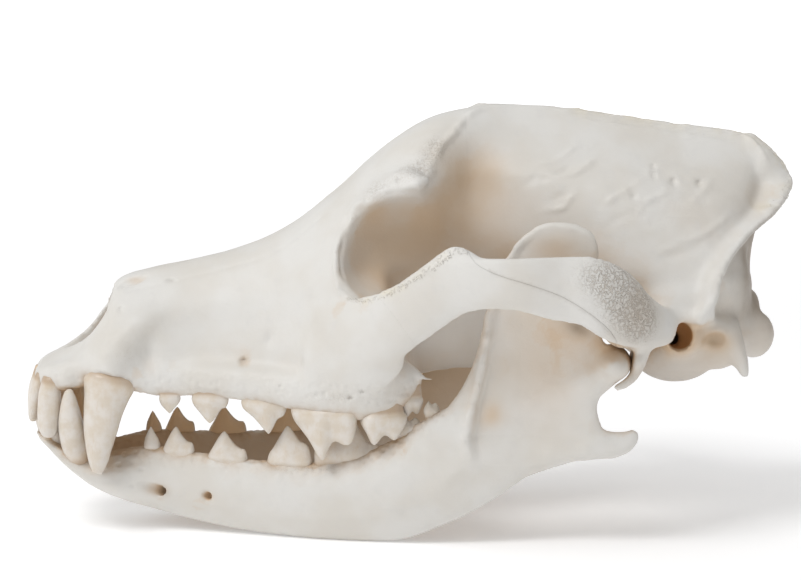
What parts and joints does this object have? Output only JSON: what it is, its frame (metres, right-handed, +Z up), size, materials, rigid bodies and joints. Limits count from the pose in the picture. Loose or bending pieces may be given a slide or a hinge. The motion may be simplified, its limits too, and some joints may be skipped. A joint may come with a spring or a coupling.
{
  "type": "dog skull",
  "caption": "Life-size skull of a large dog with its lower jaw closed, resting on the curved lower borders of the jaw.",
  "frame": {"origin": "centre of the bounding box at the floor that the jaw rests on", "axes": "+Z up, the nose points to -X, the animal's left side is at -Y"},
  "size_m": [0.2388, 0.1238, 0.1308],
  "materials": {
    "bone_braincase": "cleaned dry bone",
    "bone_face": "cleaned dry bone, teeth slightly glossy",
    "bone_cheek": "cleaned dry bone, finely pored",
    "bone_jaw": "cleaned dry bone, teeth slightly glossy"
  },
  "bodies": {
    "root": {"braincase": "bone_braincase", "face": "bone_face", "cheekbone_left": "bone_cheek", "cheekbone_right": "bone_cheek", "jaw_left": "bone_jaw", "jaw_right": "bone_jaw"}
  },
  "joints": []
}
